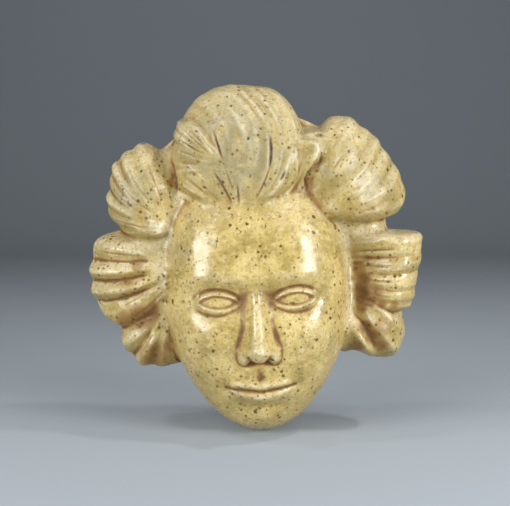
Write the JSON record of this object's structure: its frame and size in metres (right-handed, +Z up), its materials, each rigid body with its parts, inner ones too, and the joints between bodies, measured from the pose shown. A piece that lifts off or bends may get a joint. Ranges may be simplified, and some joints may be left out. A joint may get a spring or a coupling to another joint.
{
  "type": "wall mask",
  "caption": "Glazed stoneware wall mask of a calm face whose hair stands out in fanned tufts, hollow behind, hung flat on a wall.",
  "frame": {"origin": "on the wall plane, at the middle of the flat pad behind the top tuft, where the mask hangs", "axes": "+Y into the wall, +Z up, +X to the right as the viewer sees the face"},
  "size_m": [0.1904, 0.0618, 0.1975],
  "materials": {
    "glaze": "glossy honey-yellow glaze with small dark brown iron specks"
  },
  "bodies": {
    "root": {"mask_shell": "glaze"}
  },
  "joints": []
}
